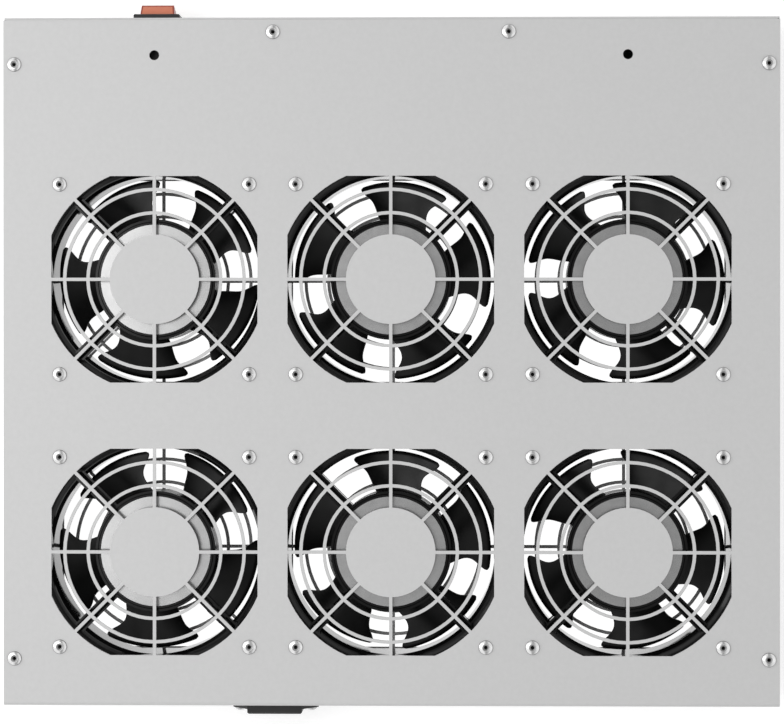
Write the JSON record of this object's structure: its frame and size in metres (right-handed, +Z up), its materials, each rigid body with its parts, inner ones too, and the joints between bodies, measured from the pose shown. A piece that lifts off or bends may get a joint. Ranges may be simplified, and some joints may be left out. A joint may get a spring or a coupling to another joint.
{
  "type": "rack fan tray",
  "caption": "Shallow sheet-metal tray one rack unit high with rows of axial fans under punched ring grilles, a mains inlet at the rear and a rocker switch at the front.",
  "frame": {"origin": "centre of the tray's underside", "axes": "+X along the width, +Y towards the wall with the rocker switch, +Z up, the way the fans blow"},
  "size_m": [0.428, 0.3941, 0.0453],
  "materials": {
    "sheet_metal": "light grey powder coat, fine orange peel",
    "rivet": "plain domed aluminium",
    "plated_steel": "zinc plated",
    "switch_black": "black moulded, satin",
    "rocker_red": "translucent orange-red moulded",
    "brass": "stamped",
    "inlet_black": "black moulded thermoplastic",
    "nickel": "nickel plated",
    "block_cream": "moulded nylon",
    "wire_brown": "PVC insulation",
    "wire_blue": "PVC insulation",
    "wire_green": "PVC insulation, green and yellow",
    "fan_black": "die-cast, glossy black paint",
    "label_silver": "bare silver foil",
    "lamination": "varnished laminations and windings",
    "bearing_steel": "ground steel",
    "impeller_black": "black painted steel",
    "lead_black": "black sleeve"
  },
  "bodies": {
    "tray": {"top_cover": "sheet_metal", "base_pan": "sheet_metal", "fan_rivets": "rivet", "cover_rivets": "rivet", "rear_screws": "plated_steel", "switch_housing": "switch_black", "switch_tabs": "brass", "inlet_housing": "inlet_black", "inlet_pins": "nickel", "inlet_screws": "plated_steel", "terminal_block": "block_cream", "terminal_screws": "plated_steel", "inlet_to_switch_wires": "wire_brown", "switch_to_block_wires": "wire_blue", "earth_wire": "wire_green", "earth_stud": "plated_steel", "fan_1_frame": "fan_black", "fan_1_hub_label": "label_silver", "fan_1_stator": "lamination", "fan_1_bearings": "bearing_steel", "fan_1_lead": "lead_black", "fan_2_frame": "fan_black", "fan_2_hub_label": "label_silver", "fan_2_stator": "lamination", "fan_2_bearings": "bearing_steel", "fan_2_lead": "lead_black", "fan_3_frame": "fan_black", "fan_3_hub_label": "label_silver", "fan_3_stator": "lamination", "fan_3_bearings": "bearing_steel", "fan_3_lead": "lead_black", "fan_4_frame": "fan_black", "fan_4_hub_label": "label_silver", "fan_4_stator": "lamination", "fan_4_bearings": "bearing_steel", "fan_4_lead": "lead_black", "fan_5_frame": "fan_black", "fan_5_hub_label": "label_silver", "fan_5_stator": "lamination", "fan_5_bearings": "bearing_steel", "fan_5_lead": "lead_black", "fan_6_frame": "fan_black", "fan_6_hub_label": "label_silver", "fan_6_stator": "lamination", "fan_6_bearings": "bearing_steel", "fan_6_lead": "lead_black"},
    "fan_1_rotor": {"fan_1_impeller": "impeller_black", "fan_1_shaft": "bearing_steel"},
    "fan_2_rotor": {"fan_2_impeller": "impeller_black", "fan_2_shaft": "bearing_steel"},
    "fan_3_rotor": {"fan_3_impeller": "impeller_black", "fan_3_shaft": "bearing_steel"},
    "fan_4_rotor": {"fan_4_impeller": "impeller_black", "fan_4_shaft": "bearing_steel"},
    "fan_5_rotor": {"fan_5_impeller": "impeller_black", "fan_5_shaft": "bearing_steel"},
    "fan_6_rotor": {"fan_6_impeller": "impeller_black", "fan_6_shaft": "bearing_steel"},
    "rocker": {"switch_rocker": "rocker_red"}
  },
  "joints": [
    {"name": "fan_1_spin", "type": "hinge", "parent": "tray", "child": "fan_1_rotor", "pos_m": [-0.1305, 0.0454, 0.0238], "axis": [0, 0, 1], "continuous": true},
    {"name": "fan_2_spin", "type": "hinge", "parent": "tray", "child": "fan_2_rotor", "pos_m": [0, 0.0454, 0.0238], "axis": [0, 0, 1], "continuous": true},
    {"name": "fan_3_spin", "type": "hinge", "parent": "tray", "child": "fan_3_rotor", "pos_m": [0.1305, 0.0454, 0.0238], "axis": [0, 0, 1], "continuous": true},
    {"name": "fan_4_spin", "type": "hinge", "parent": "tray", "child": "fan_4_rotor", "pos_m": [-0.1305, -0.1051, 0.0238], "axis": [0, 0, 1], "continuous": true},
    {"name": "fan_5_spin", "type": "hinge", "parent": "tray", "child": "fan_5_rotor", "pos_m": [0, -0.1051, 0.0238], "axis": [0, 0, 1], "continuous": true},
    {"name": "fan_6_spin", "type": "hinge", "parent": "tray", "child": "fan_6_rotor", "pos_m": [0.1305, -0.1051, 0.0238], "axis": [0, 0, 1], "continuous": true},
    {"name": "rocker_tilt", "type": "hinge", "parent": "tray", "child": "rocker", "pos_m": [-0.13, 0.1896, 0.022], "axis": [1, 0, 0], "range_deg": [0, 24]}
  ]
}
